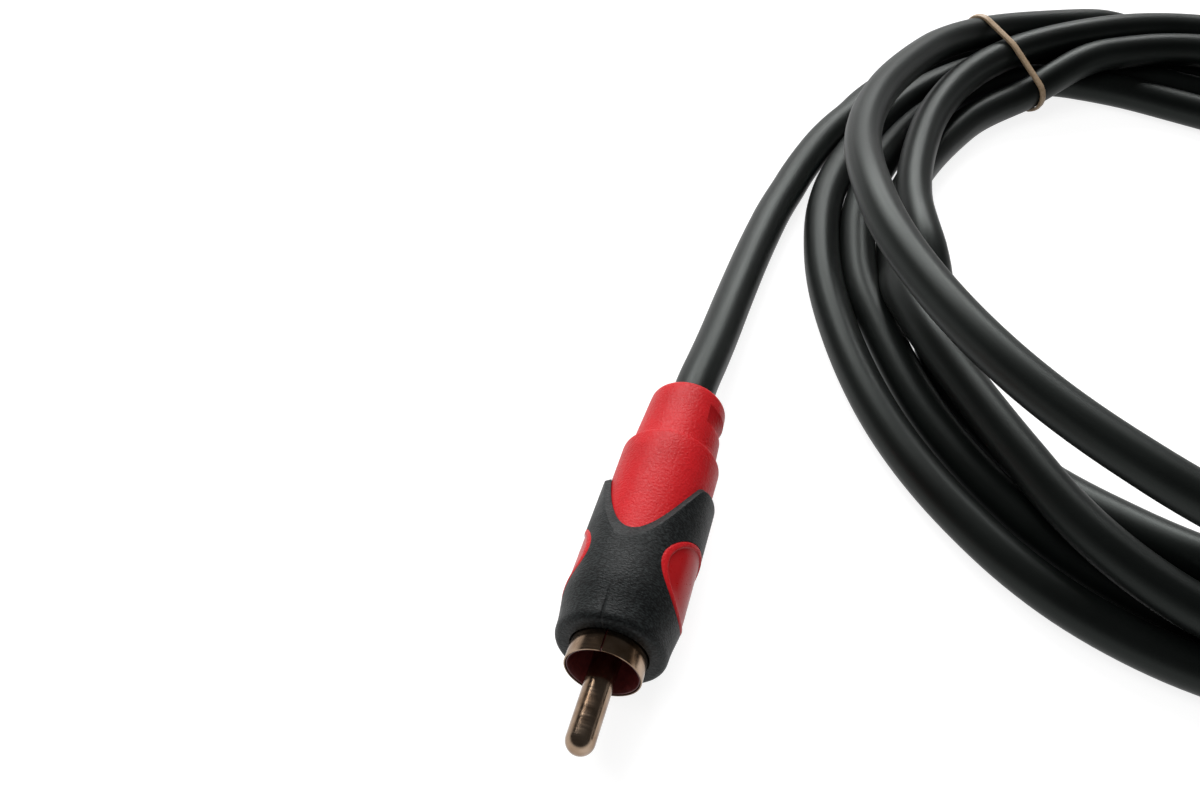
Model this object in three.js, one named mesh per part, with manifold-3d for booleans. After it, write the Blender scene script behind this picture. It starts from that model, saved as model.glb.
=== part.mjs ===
// Phono audio lead: a moulded plug on each end of one screened cable, coiled and tied.
// Millimetres, +Z up. The origin is at the middle of the near plug's footprint, on the table,
// and +Y runs along that plug from its pin towards its cable.

import * as THREE from 'three';
import { mergeVertices } from 'three/addons/utils/BufferGeometryUtils.js';
import Module from 'manifold-3d';

const wasm = await Module();
wasm.setup();

// Clearances
const mouldGap = 0.3; // between moulded pieces and what they enclose
const metalGap = 0.12; // between the small pieces inside the plug

// Centre pin, turned brass with a solder cup
const pinDiameter = 3.2;
const pinReach = 9.7; // pin tip in front of the shell's rim
const pinFlangeDiameter = 4.4;
const pinFlangeLength = 1.2;
const cupDiameter = 2.9;
const cupLength = 3.4;
const cupBoreDiameter = 1.9;
const cupBoreDepth = 2.8;
const cupOpening = 0.8; // share of the bore's depth that is open on top
const wireSeat = 0.8; // share of the bore's depth that the wire fills

// Ground shell, rolled from sheet with one seam
const shellDiameter = 8.7;
const shellWall = 0.35;
const shellReach = 2.6; // shell in front of the grip's nose
const shellTubeLength = 12;
const seamWidth = 0.3;
const seamAngle = 6; // degrees round from the plug's top
const shellBackHole = 5.2;
const tongueWidth = 2.6;
const tongueLength = 12.2;
const crimpLength = 3.4;
const crimpWall = 0.45;
const crimpOpening = 1.6;

// Insulating bush between the pin and the shell
const bushDepth = 4.6; // bush front behind the shell's rim
const bushLength = 6.8;
const bushChamfer = 0.4;

// Black grip, moulded over the red body
const gripLength = 22; // nose face to the outer edge of the horns
const gripDiameter = 13.9;
const gripNoseDiameter = 11.2;
const gripNoseRound = 1;
const gripShoulderDiameter = 12.75; // behind the nose's round
const gripTaperLength = 6.4; // from the nose face to full diameter
const gripNoseWall = 1.7;
const gripHeelDiameter = 13.7;
const gripEdge = 0.15; // thickness left at the scalloped rim
const scallopDepth = 11.3; // dip between the two horns, top and bottom
const scallopHalfWidth = 6.15; // sideways reach of the dip where it meets the horns
const lipAtDip = 1.8; // the sloping lip behind the rim is wide in the dip
const lipAtHorn = 0.5;

// Red body: core, collar and strain relief in one moulding, with a pad on each side
const coreDiameter = 11.3; // under the front of the grip
const coreReach = 9.8; // from the grip's nose face to where the body widens
const coreStep = 0.7;
const collarDiameter = 12.2;
const collarLength = 6.2; // behind the grip's horns
const collarRound = 0.45;
const reliefLength = 10;
const reliefFrontDiameter = 10.7;
const reliefRearDiameter = 9.8;
const reliefRound = 1.1;
const notchOffset = 4.4; // notch front behind the collar's rear face
const notchWidth = 2.9;
const notchFloorDiameter = 9;
const notchHeight = 6.6;

// Oval pads that stand in the grip's windows
const padSetback = 9.6; // pad centre behind the grip's nose face
const padLength = 10.2;
const padHeight = 10.9;
const padRim = 1;
const padRise = 0.12; // rim proud of the grip
const padRecess = 0.45;

// Cable and the layers stripped back inside the plug
const cableDiameter = 5.5;
const jacketWall = 0.6;
const braidWall = 0.3;
const coreInsulationDiameter = 2.5;
const conductorDiameter = 0.8;
const jacketInPlug = 19.4; // jacket from its cut end to the plug's rear
const insulationStrip = 3.6; // core insulation in front of the jacket's cut end
const braidStrip = 1.2; // braid in front of the jacket's cut end
const pigtailDiameter = 0.9;
const pigtailLength = 3.6;

// Coil, lying beside the plug, and how the two plugs lie
const coilCentre = new THREE.Vector2(74.5, 68.5);
const coilInnerDiameter = 95;
const coilOuterDiameter = 137;
const coilHeight = 23.5;
const coilRound = 2.5;
const tieAngle = 125; // degrees round the coil from +X
const tieWidth = 2.2;
const tieThickness = 0.9;
const restRoll = -9; // the plug lies turned a little about its own length
const farPlugPlace = new THREE.Vector2(153.3, 31.2);
const farPlugHeading = 4;
const farPlugRoll = 14;

// Facets round one turn
const roundFacets = 36;
const gripFacets = 48;
const pinFacets = 20;
const smallFacets = 16;
const cableFacets = 10;
const wireFacets = 8;
const padFacets = 24;
const coilFacets = 60;

const materials = {
  nickel: { color: 0x8f857c, roughness: 0.16, metalness: 1 },
  tin: { color: 0xb9bbbd, roughness: 0.35, metalness: 1 },
  copper: { color: 0xb87345, roughness: 0.35, metalness: 1 },
  bush: { color: 0x3a0c0d, roughness: 0.45, metalness: 0 },
  red: { color: 0xc8282f, roughness: 0.5, metalness: 0 },
  black: { color: 0x232526, roughness: 0.62, metalness: 0 },
  cable: { color: 0x1f2221, roughness: 0.45, metalness: 0 },
  core: { color: 0xe9e6dc, roughness: 0.5, metalness: 0 },
  tie: { color: 0xa9947c, roughness: 0.35, metalness: 0 },
};

// Lengths along the plug's axis, from the shell's rim towards the cable
const station = (() => {
  const nose = shellReach;
  const horns = nose + gripLength;
  const dip = horns - scallopDepth;
  const collarEnd = horns + collarLength;
  const rear = collarEnd + reliefLength;
  const bushFront = bushDepth;
  const bushEnd = bushFront + bushLength;
  const shellBack = Math.max(shellTubeLength, bushEnd + metalGap);
  const cupMouth = bushEnd + metalGap + cupLength;
  const jacketCut = rear - jacketInPlug;
  const shellEnd = shellBack + shellWall;
  return {
    nose, horns, dip, collarEnd, rear, bushFront, bushEnd, shellBack, shellEnd, cupMouth, jacketCut,
    coreFront: nose + gripNoseWall + mouldGap,
    tongueEnd: shellBack + tongueLength,
    stepFront: nose + coreReach,
    stepEnd: nose + coreReach + coreStep,
    padCentre: nose + padSetback,
    notchFront: collarEnd + notchOffset,
  };
})();

const axisHeight = gripDiameter / 2;
const plugMiddle = (station.rear - pinReach) / 2;

// Keeps positions only, joins equal vertices and drops triangles that collapse at a pole
function weld(geometry) {
  const bare = geometry.clone();
  for (const name of Object.keys(bare.attributes)) {
    if (name !== 'position') bare.deleteAttribute(name);
  }
  const joined = mergeVertices(bare, 1e-4);
  const index = joined.getIndex().array;
  const kept = [];
  for (let i = 0; i < index.length; i += 3) {
    const [a, b, c] = [index[i], index[i + 1], index[i + 2]];
    if (a !== b && b !== c && c !== a) kept.push(a, b, c);
  }
  joined.setIndex(kept);
  return outward(joined);
}

// Turns a closed mesh so that its faces point out
function outward(geometry) {
  const p = geometry.getAttribute('position');
  const index = Array.from(geometry.getIndex().array);
  const [a, b, c] = [new THREE.Vector3(), new THREE.Vector3(), new THREE.Vector3()];
  let volume = 0;
  for (let i = 0; i < index.length; i += 3) {
    a.fromBufferAttribute(p, index[i]);
    b.fromBufferAttribute(p, index[i + 1]);
    c.fromBufferAttribute(p, index[i + 2]);
    volume += a.dot(b.cross(c));
  }
  if (volume < 0) {
    for (let i = 0; i < index.length; i += 3) {
      [index[i + 1], index[i + 2]] = [index[i + 2], index[i + 1]];
    }
    geometry.setIndex(index);
  }
  return geometry;
}

function toSolid(geometry) {
  const closed = weld(geometry);
  return new wasm.Manifold(new wasm.Mesh({
    numProp: 3,
    vertProperties: new Float32Array(closed.getAttribute('position').array),
    triVerts: new Uint32Array(closed.getIndex().array),
  }));
}

function toGeometry(solid) {
  const mesh = solid.getMesh();
  const geometry = new THREE.BufferGeometry();
  geometry.setAttribute('position', new THREE.BufferAttribute(new Float32Array(mesh.vertProperties), 3));
  geometry.setIndex(Array.from(mesh.triVerts));
  return geometry;
}

// Body of revolution about the plug's axis; a profile point is [radius, station]
function revolve(profile, facets = roundFacets) {
  const points = profile.map(([radius, along]) => new THREE.Vector2(Math.max(radius, 0), along));
  const turned = new THREE.LatheGeometry(points, facets);
  turned.rotateY(Math.PI / facets);
  return turned;
}

// Tube wall between two radii, as a closed profile
function sleeve(inner, outer, from, to, facets = smallFacets) {
  return revolve([[inner, from], [outer, from], [outer, to], [inner, to], [inner, from]], facets);
}

function rod(radius, from, to, facets = smallFacets) {
  return revolve([[0, from], [radius, from], [radius, to], [0, to]], facets);
}

// Quarter round from one profile point to another, bulging outwards
function cornerRound(radius, along, size, steps = 3) {
  const corner = [];
  for (let i = 0; i <= steps; i++) {
    const turn = (i / steps) * (Math.PI / 2);
    corner.push([radius - size + size * Math.cos(turn), along - size + size * Math.sin(turn)]);
  }
  return corner;
}

function box(width, length, height, x, along, z) {
  return new THREE.BoxGeometry(width, length, height).translate(x, along, z);
}

// Oval prism across the plug, that cuts or forms the two side pads
function padPrism(length, height, reach) {
  const oval = new THREE.Shape();
  oval.absellipse(0, 0, length / 2, height / 2, 0, Math.PI * 2);
  const prism = new THREE.ExtrudeGeometry(oval, {
    depth: reach * 2, bevelEnabled: false, curveSegments: padFacets / 2,
  });
  prism.translate(0, 0, -reach);
  prism.rotateX(-Math.PI / 2);
  prism.rotateZ(Math.PI / 2);
  prism.translate(0, station.padCentre, 0);
  return prism;
}

// Outer radius of the grip at a station: rounded nose, slow taper, nearly straight barrel
function gripRadius(along) {
  const nose = gripNoseDiameter / 2;
  const shoulder = gripShoulderDiameter / 2;
  const full = gripDiameter / 2;
  const back = along - station.nose;
  if (back < gripNoseRound) {
    return nose + (shoulder - nose) * Math.sqrt(1 - (1 - back / gripNoseRound) ** 2);
  }
  if (back < gripTaperLength) {
    return shoulder + (full - shoulder) * THREE.MathUtils.smoothstep(back, gripNoseRound, gripTaperLength);
  }
  const heel = (back - gripTaperLength) / (gripLength - gripTaperLength);
  return full + (gripHeelDiameter / 2 - full) * Math.min(heel, 1);
}

// How far the scalloped rim has risen from the dip, 0, to the horns, 1; angle 0 is the top
function rimRise(angle) {
  const side = Math.abs(Math.sin(angle)) * (gripHeelDiameter / 2) / scallopHalfWidth;
  const rise = side * side;
  const knee = 0.12; // rounds the horn where the dip runs out
  return rise < 1 - knee ? rise : 1 - knee * Math.exp(-(rise - 1 + knee) / knee);
}

// Grip: one closed wall round the axis, whose rear rim and lip follow the scallop
function gripWall() {
  const coreBore = coreDiameter / 2 + mouldGap;
  const collarBore = collarDiameter / 2 + mouldGap;
  const hole = shellDiameter / 2 + mouldGap;
  const taperEnd = station.nose + gripTaperLength;
  const front = [0, 0.25, 0.7, 1].map((part) => station.nose + gripNoseRound * part);
  front.push(station.nose + (gripNoseRound + gripTaperLength) / 2, taperEnd);
  const rings = [];
  for (let k = 0; k < gripFacets; k++) {
    const angle = (k / gripFacets) * Math.PI * 2;
    const rise = rimRise(angle);
    const rim = station.dip + scallopDepth * rise;
    const lip = rim + lipAtDip + (lipAtHorn - lipAtDip) * rise;
    const outside = [...front, (taperEnd + rim) / 2, rim].map((along) => [gripRadius(along), along]);
    rings.push([
      [hole, station.nose],
      ...outside,
      [collarBore + gripEdge, lip],
      [collarBore, lip],
      [collarBore, station.stepEnd],
      [coreBore, station.stepFront],
      [coreBore, station.nose + gripNoseWall],
      [hole, station.nose + gripNoseWall],
    ].map(([radius, along]) => [Math.sin(angle) * radius, along, Math.cos(angle) * radius]));
  }
  const count = rings[0].length;
  const index = [];
  for (let k = 0; k < gripFacets; k++) {
    const next = (k + 1) % gripFacets;
    for (let i = 0; i < count; i++) {
      const up = (i + 1) % count;
      const [a, b, c, d] = [k * count + i, next * count + i, next * count + up, k * count + up];
      index.push(a, b, c, a, c, d);
    }
  }
  const wall = new THREE.BufferGeometry();
  wall.setAttribute('position', new THREE.Float32BufferAttribute(rings.flat(2), 3));
  wall.setIndex(index);
  return wall;
}

function blackGrip() {
  const window = padPrism(padLength + 2 * mouldGap, padHeight + 2 * mouldGap, gripDiameter);
  return toSolid(gripWall()).subtract(toSolid(window));
}

function redBody() {
  const core = coreDiameter / 2;
  const collar = collarDiameter / 2;
  const bore = shellDiameter / 2 + mouldGap;
  const chamber = Math.hypot(tongueWidth / 2, tongueLevel() + crimpWall) + mouldGap;
  const jacketBore = cableDiameter / 2 + mouldGap;
  const chamberEnd = station.tongueEnd + crimpLength + mouldGap;
  const shellSeat = station.shellEnd + mouldGap;
  const outline = [
    [bore, station.coreFront],
    [core, station.coreFront],
    [core, station.stepFront],
    [collar, station.stepEnd],
    ...cornerRound(collar, station.collarEnd, collarRound),
    [reliefFrontDiameter / 2, station.collarEnd],
    ...cornerRound(reliefRearDiameter / 2, station.rear, reliefRound),
    [jacketBore, station.rear],
    [jacketBore, chamberEnd],
    [chamber, chamberEnd - (chamber - jacketBore)],
    [chamber, shellSeat],
    [bore, shellSeat],
    [bore, station.coreFront],
  ];
  let body = toSolid(revolve(outline));

  // The pads stand up through the grip's windows, each with a raised rim round a shallow field
  const face = gripDiameter / 2 + padRise;
  const field = face - padRecess;
  const pads = toSolid(padPrism(padLength, padHeight, gripDiameter))
    .intersect(toSolid(sleeve((bore + core) / 2, face, station.coreFront, station.horns, roundFacets)));
  const recess = toSolid(padPrism(padLength - 2 * padRim, padHeight - 2 * padRim, gripDiameter))
    .subtract(toSolid(rod(field, station.coreFront, station.collarEnd, roundFacets)));
  body = body.add(pads).subtract(recess);

  // A notch each side lets the strain relief bend
  const notchMiddle = station.notchFront + notchWidth / 2;
  const slot = toSolid(box(gripDiameter * 2, notchWidth, notchHeight, 0, notchMiddle, 0))
    .subtract(toSolid(rod(notchFloorDiameter / 2, station.collarEnd, station.rear, roundFacets)));
  return body.subtract(slot);
}

function centrePin() {
  const radius = pinDiameter / 2;
  const tip = [];
  for (let i = 0; i <= 4; i++) {
    const turn = (i / 4) * (Math.PI / 2);
    tip.push([radius * Math.sin(turn), -pinReach + radius * (1 - Math.cos(turn))]);
  }
  const flangeFront = (station.bushFront + station.bushEnd - pinFlangeLength) / 2;
  const cupBase = station.cupMouth - cupBoreDepth;
  const profile = [
    ...tip,
    [radius, flangeFront],
    [pinFlangeDiameter / 2, flangeFront],
    [pinFlangeDiameter / 2, flangeFront + pinFlangeLength],
    [radius, flangeFront + pinFlangeLength],
    [radius, station.bushEnd],
    [cupDiameter / 2, station.bushEnd + metalGap],
    [cupDiameter / 2, station.cupMouth],
    [cupBoreDiameter / 2, station.cupMouth],
    [cupBoreDiameter / 2, cupBase],
    [0, cupBase - cupBoreDiameter / 4],
  ];
  // The cup is open on top over most of its depth, where the wire is laid in
  const mouth = box(cupDiameter * 2, cupBoreDepth * 2 * cupOpening, cupDiameter, 0,
    station.cupMouth, cupDiameter / 2 + conductorDiameter / 4);
  return toSolid(revolve(profile, pinFacets)).subtract(toSolid(mouth));
}

function pinBush() {
  const outer = shellDiameter / 2 - shellWall - metalGap;
  const bore = pinDiameter / 2 + metalGap;
  const groove = pinFlangeDiameter / 2 + metalGap;
  const middle = (station.bushFront + station.bushEnd) / 2;
  const grooveHalf = pinFlangeLength / 2 + metalGap;
  return revolve([
    [bore, station.bushFront],
    [outer - bushChamfer, station.bushFront],
    [outer, station.bushFront + bushChamfer],
    [outer, station.bushEnd],
    [bore, station.bushEnd],
    [bore, middle + grooveHalf],
    [groove, middle + grooveHalf],
    [groove, middle - grooveHalf],
    [bore, middle - grooveHalf],
    [bore, station.bushFront],
  ], pinFacets);
}

// Ground tongue under the cable, as deep as the crimp that it carries
function tongueLevel() {
  return cableDiameter / 2 + metalGap;
}

function groundShell() {
  const outer = shellDiameter / 2;
  const inner = outer - shellWall;
  let shell = toSolid(revolve([
    [inner, 0],
    [outer, 0],
    [outer, station.shellEnd],
    [shellBackHole / 2, station.shellEnd],
    [shellBackHole / 2, station.shellBack],
    [inner, station.shellBack],
    [inner, 0],
  ]));
  const seam = box(seamWidth, station.shellBack * 2, outer, 0, 0, outer);
  seam.rotateY(THREE.MathUtils.degToRad(seamAngle));
  shell = shell.subtract(toSolid(seam));

  const level = tongueLevel();
  const tongue = box(tongueWidth, station.tongueEnd + 0.5 - station.shellBack, crimpWall,
    0, (station.tongueEnd + 0.5 + station.shellBack) / 2, -level - crimpWall / 2);
  const crimpEnd = station.tongueEnd + crimpLength;
  const opening = box(crimpOpening, crimpLength * 3, cableDiameter, 0, station.tongueEnd, level);
  const crimp = toSolid(sleeve(level, level + crimpWall, station.tongueEnd, crimpEnd, pinFacets))
    .subtract(toSolid(opening));
  return shell.add(toSolid(tongue)).add(crimp);
}

// A curved rod whose ends are cut square
function bentRod(points, radius, facets, steps) {
  const ring = new THREE.Shape();
  ring.absarc(0, 0, radius, 0, Math.PI * 2);
  return new THREE.ExtrudeGeometry(ring, {
    steps, curveSegments: facets / 2, bevelEnabled: false,
    extrudePath: new THREE.CatmullRomCurve3(points.map((p) => new THREE.Vector3(...p)), false, 'centripetal'),
  });
}

// Braid under the jacket, gathered into a pigtail that reaches down to the tongue
const braidInner = coreInsulationDiameter / 2 + metalGap;
const braidOuter = braidInner + braidWall;
const pigtailDrop = (cableDiameter - pigtailDiameter) / 2;

function pigtail(extra = 0) {
  const braidEnd = station.jacketCut - braidStrip;
  const middle = (braidInner + braidOuter) / 2;
  return bentRod([
    [0, braidEnd + 0.6, -middle],
    [0, braidEnd - 0.3, -middle - 0.1],
    [0, braidEnd - pigtailLength * 0.45, -pigtailDrop],
    [0, braidEnd - pigtailLength, -pigtailDrop],
  ], pigtailDiameter / 2 + extra, wireFacets, 8);
}

function shieldBraid() {
  const braidEnd = station.jacketCut - braidStrip;
  const tube = toSolid(sleeve(braidInner, braidOuter, braidEnd, station.rear));
  const coreRoom = toSolid(rod(braidInner, 0, station.rear * 2));
  const jacketRoom = toSolid(rod(cableDiameter, station.jacketCut - metalGap, station.rear * 2));
  return toSolid(pigtail()).subtract(coreRoom).subtract(jacketRoom).add(tube);
}

function solderBlob(width, length, height, along, z) {
  const drop = new THREE.SphereGeometry(0.5, 12, 8);
  drop.scale(width, length, height);
  drop.translate(0, along, z);
  return toSolid(drop);
}

function pinSolder() {
  const length = cupBoreDepth * 0.7;
  const along = station.cupMouth - cupBoreDepth * 0.4;
  const cupFloor = conductorDiameter / 4 + metalGap - cupDiameter / 2;
  return solderBlob(cupDiameter * 0.7, length, cupDiameter * 0.75, along, conductorDiameter * 0.8)
    .subtract(toSolid(rod(conductorDiameter / 2 + metalGap, 0, station.rear)))
    .subtract(toSolid(box(cupDiameter * 2, length * 2, cupDiameter, 0, along, cupFloor)));
}

function shieldSolder() {
  const level = tongueLevel();
  const along = station.jacketCut - braidStrip - pigtailLength * 0.8;
  return solderBlob(tongueWidth * 0.75, pigtailLength * 0.8, pigtailDiameter * 2.6, along, -level + 0.1)
    .subtract(toSolid(box(tongueWidth * 2, pigtailLength * 3, cableDiameter, 0, along,
      -level + metalGap - cableDiameter / 2)))
    .subtract(toSolid(pigtail(metalGap)));
}

function addPiece(group, name, shape, finish) {
  const geometry = shape.isBufferGeometry ? weld(shape) : weld(toGeometry(shape));
  geometry.computeVertexNormals();
  const mesh = new THREE.Mesh(geometry, new THREE.MeshStandardMaterial(materials[finish]));
  mesh.name = name;
  group.add(mesh);
}

// One plug on its own axis, with the shell's rim at station 0
function buildPlug(suffix) {
  const plug = new THREE.Group();
  const add = (name, shape, finish) => addPiece(plug, name + suffix, shape, finish);
  add('centre_pin', centrePin(), 'nickel');
  add('pin_insulator', pinBush(), 'bush');
  add('ground_shell', groundShell(), 'nickel');
  add('red_body', redBody(), 'red');
  add('black_grip', blackGrip(), 'black');
  const jacketInner = cableDiameter / 2 - jacketWall;
  add('cable_jacket_end', sleeve(jacketInner, cableDiameter / 2, station.jacketCut, station.rear), 'cable');
  add('shield_braid', shieldBraid(), 'copper');
  const conductorRoom = conductorDiameter / 2 + metalGap;
  add('core_insulation', sleeve(conductorRoom, coreInsulationDiameter / 2,
    station.jacketCut - insulationStrip, station.rear), 'core');
  const wireEnd = station.cupMouth - cupBoreDepth * wireSeat;
  add('inner_conductor', rod(conductorDiameter / 2, wireEnd, station.rear, wireFacets), 'copper');
  add('pin_solder', pinSolder(), 'tin');
  add('shield_solder', shieldSolder(), 'tin');
  return plug;
}

const group = new THREE.Group();

const nearPlug = buildPlug('');
nearPlug.rotation.y = THREE.MathUtils.degToRad(restRoll);
nearPlug.position.set(0, -plugMiddle, axisHeight);
group.add(nearPlug);

const farPlug = buildPlug('_far');
farPlug.rotation.order = 'ZYX';
farPlug.rotation.z = THREE.MathUtils.degToRad(farPlugHeading);
farPlug.rotation.y = THREE.MathUtils.degToRad(farPlugRoll);
farPlug.position.set(farPlugPlace.x, farPlugPlace.y, axisHeight);
group.add(farPlug);

// Coil: one ring of the turns' outer shape, with a shallow seat for the tie
const cableRadius = cableDiameter / 2;

function coilRing(grow = 0) {
  const inner = coilInnerDiameter / 2 - grow;
  const outer = coilOuterDiameter / 2 + grow;
  const top = coilHeight + grow;
  const r = coilRound;
  const half = Math.SQRT1_2 * r;
  const points = [
    [inner, 0], [outer, 0], [outer, top - r], [outer - r + half, top - r + half], [outer - r, top],
    [inner + r, top], [inner + r - half, top - r + half], [inner, top - r], [inner, 0],
  ].map(([radius, z]) => new THREE.Vector2(radius, z));
  const ring = new THREE.LatheGeometry(points, coilFacets);
  ring.rotateX(Math.PI / 2);
  ring.translate(coilCentre.x, coilCentre.y, 0);
  return ring;
}

// Rectangle in the ring's radial plane, made a slab across the ring at the tie
function tieSlab(width, halfWidth, bottom, top) {
  const slab = new THREE.BoxGeometry(halfWidth * 2, width, top - bottom);
  slab.translate((coilInnerDiameter + coilOuterDiameter) / 4, 0, (bottom + top) / 2);
  slab.rotateZ(THREE.MathUtils.degToRad(tieAngle));
  slab.translate(coilCentre.x, coilCentre.y, 0);
  return toSolid(slab);
}

// Band round the ring's section, sunk flush in its own seat
const sectionHalf = (coilOuterDiameter - coilInnerDiameter) / 4;
const bandFar = tieThickness * 3; // cutters run this far past the faces that they cut

function tieBand() {
  return tieSlab(tieWidth, sectionHalf, 0, coilHeight)
    .subtract(tieSlab(tieWidth * 2, sectionHalf - tieThickness, tieThickness, coilHeight - tieThickness));
}

function tieSeat() {
  const depth = tieThickness + mouldGap;
  return tieSlab(tieWidth + 2 * mouldGap, sectionHalf + bandFar, -bandFar, coilHeight + bandFar)
    .subtract(tieSlab(tieWidth * 4, sectionHalf - depth, depth, coilHeight - depth));
}

addPiece(group, 'cable_coil', toSolid(coilRing()).subtract(tieSeat()), 'cable');
addPiece(group, 'coil_tie', tieBand(), 'tie');

// Cable from the near plug to the coil: straight out, down to the table, then alongside the coil
const plugRear = station.rear - plugMiddle;
const runPoints = [
  [0, plugRear + mouldGap, axisHeight],
  [0.05, plugRear + 4, axisHeight - 0.1],
  [0.3, 33.5, 6.4],
  [0.6, 40, 5.6],
  [0.9, 50, 4.5],
  [1.2, 57, 3.9],
  [1.6, 64, 3.35],
  [2.6, 74.5, 2.95],
  [3.6, 80.7, cableRadius],
  [4.7, 87, cableRadius],
  [7.3, 97.2, cableRadius],
  [11.8, 106.4, cableRadius],
  [18, 113.2, cableRadius],
  [26, 117, cableRadius],
  [33.5, 119, cableRadius],
];
const ringRoom = () => toSolid(coilRing(mouldGap));
const run = toSolid(bentRod(runPoints, cableRadius, cableFacets, 15)).subtract(ringRoom());
addPiece(group, 'cable_run', run, 'cable');

// Cable from the coil's outer side round into the far plug, which lies beside the coil
const heading = THREE.MathUtils.degToRad(farPlugHeading);
const farPoint = (along, across, z) => [
  farPlugPlace.x - Math.sin(heading) * along + Math.cos(heading) * across,
  farPlugPlace.y + Math.cos(heading) * along + Math.sin(heading) * across,
  z,
];
const tailPoints = [
  farPoint(station.rear + mouldGap, 0, axisHeight),
  farPoint(station.rear + 5, -0.15, 6.8),
  farPoint(station.rear + 11, -1, 6.3),
  farPoint(station.rear + 17, -2.6, 5.7),
  farPoint(station.rear + 24, -5.5, 5.3),
  farPoint(station.rear + 31, -9.3, 5.3),
  farPoint(station.rear + 38, -14.3, 5.8),
  farPoint(station.rear + 44.6, -21.3, 6.2),
  farPoint(station.rear + 50, -29.5, 6.4),
];
const tail = toSolid(bentRod(tailPoints, cableRadius, cableFacets, 9)).subtract(ringRoom());
addPiece(group, 'cable_tail', tail, 'cable');

export default group;
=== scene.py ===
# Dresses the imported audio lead: finishes, cord and tie, the plugs' pieces, then floor, lamps and camera
from math import cos, exp, hypot, pi, radians, sin, sqrt
import bpy
import numpy as np
from mathutils import Matrix, Vector


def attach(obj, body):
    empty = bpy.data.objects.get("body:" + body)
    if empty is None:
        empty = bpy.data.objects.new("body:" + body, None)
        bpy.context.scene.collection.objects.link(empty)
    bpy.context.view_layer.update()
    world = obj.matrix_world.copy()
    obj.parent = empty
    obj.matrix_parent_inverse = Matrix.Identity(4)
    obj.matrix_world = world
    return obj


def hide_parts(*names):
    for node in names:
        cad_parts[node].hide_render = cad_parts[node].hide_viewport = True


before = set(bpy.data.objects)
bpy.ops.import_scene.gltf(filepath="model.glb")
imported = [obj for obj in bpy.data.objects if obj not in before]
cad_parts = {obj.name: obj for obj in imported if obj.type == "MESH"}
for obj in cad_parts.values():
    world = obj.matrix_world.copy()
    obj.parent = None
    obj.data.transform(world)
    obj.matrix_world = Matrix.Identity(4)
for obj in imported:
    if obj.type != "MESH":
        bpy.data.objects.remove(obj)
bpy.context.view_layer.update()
mm = 0.001
print("frame loaded:", len(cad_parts), "nodes")


# Finishes

def linearHex(value):  # sRGB hex to the linear colour that the shader takes
    parts = [((value >> shift) & 255) / 255 for shift in (16, 8, 0)]
    return [p / 12.92 if p <= 0.04045 else ((p + 0.055) / 1.055) ** 2.4 for p in parts] + [1.0]


def addNode(tree, kind, inputs=None, stops=None, **settings):  # one node with its settings, stops and links
    node = tree.nodes.new("ShaderNode" + kind)
    for key, value in settings.items():
        setattr(node, key, value)
    for index, (position, colour) in enumerate(stops or []):
        ramp = node.color_ramp.elements
        stop = ramp[index] if index < len(ramp) else ramp.new(position)
        stop.position, stop.color = position, colour
    for key, value in (inputs or {}).items():
        if isinstance(value, bpy.types.NodeSocket):
            tree.links.new(value, node.inputs[key])
        else:
            node.inputs[key].default_value = value
    return node


def startMaterial(name):  # an empty material with its output node
    material = bpy.data.materials.new(name)
    material.use_nodes = True
    material.node_tree.nodes.clear()
    return material, material.node_tree, addNode(material.node_tree, "OutputMaterial")


def grey(level):
    return [level, level, level, 1.0]


noiseSpan = {"From Min": 0.3, "From Max": 0.7}  # nearly all of a noise texture lies between these


# Extruded PVC jacket: satin, so a broad soft highlight, with faint pulls along its length
cablePvcLook = {"base": 0x080A09, "pale": 0x111413, "sheen": 0xF4FFF9, "roughness": (0.4, 0.5),
                "specular": 0.24, "pullSpacing": 1.1 * mm, "pullLength": 40 * mm, "pullRelief": 0.04 * mm,
                "grain": 0.5 * mm, "grainRelief": 0.03 * mm, "scuff": 14 * mm}


def makeCablePvc():
    look = cablePvcLook
    material, tree, output = startMaterial("extrudedCablePvc")
    flow = addNode(tree, "Attribute", attribute_name="alongCable").outputs["Vector"]
    squash = look["pullSpacing"] / look["pullLength"]
    stretched = addNode(tree, "Mapping", {"Vector": flow, "Scale": (1, 1, squash)})
    pulls = addNode(tree, "TexNoise", {"Vector": stretched.outputs[0], "Scale": 1 / look["pullSpacing"],
                                       "Detail": 3})
    grain = addNode(tree, "TexNoise", {"Vector": flow, "Scale": 1 / look["grain"], "Detail": 2})
    scuff = addNode(tree, "TexNoise", {"Vector": flow, "Scale": 1 / look["scuff"], "Detail": 4,
                                       "Roughness": 0.6})
    tint = addNode(tree, "ValToRGB", {"Fac": scuff.outputs[0]},
                   [(0.35, linearHex(look["base"])), (0.75, linearHex(look["pale"]))])
    rough = addNode(tree, "MapRange", {"Value": pulls.outputs[0], **noiseSpan,
                                       "To Min": look["roughness"][0], "To Max": look["roughness"][1]})
    fine = addNode(tree, "Bump", {"Height": grain.outputs[0], "Strength": 0.16,
                                  "Distance": look["grainRelief"]})
    relief = addNode(tree, "Bump", {"Height": pulls.outputs[0], "Strength": 0.3,
                                    "Distance": look["pullRelief"], "Normal": fine.outputs[0]})
    shader = addNode(tree, "BsdfPrincipled", {"Base Color": tint.outputs[0], "Roughness": rough.outputs[0],
                                              "Normal": relief.outputs[0], "IOR": 1.5,
                                              "Specular IOR Level": look["specular"],
                                              "Specular Tint": linearHex(look["sheen"])})
    tree.links.new(shader.outputs[0], output.inputs[0])
    return material


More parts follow.
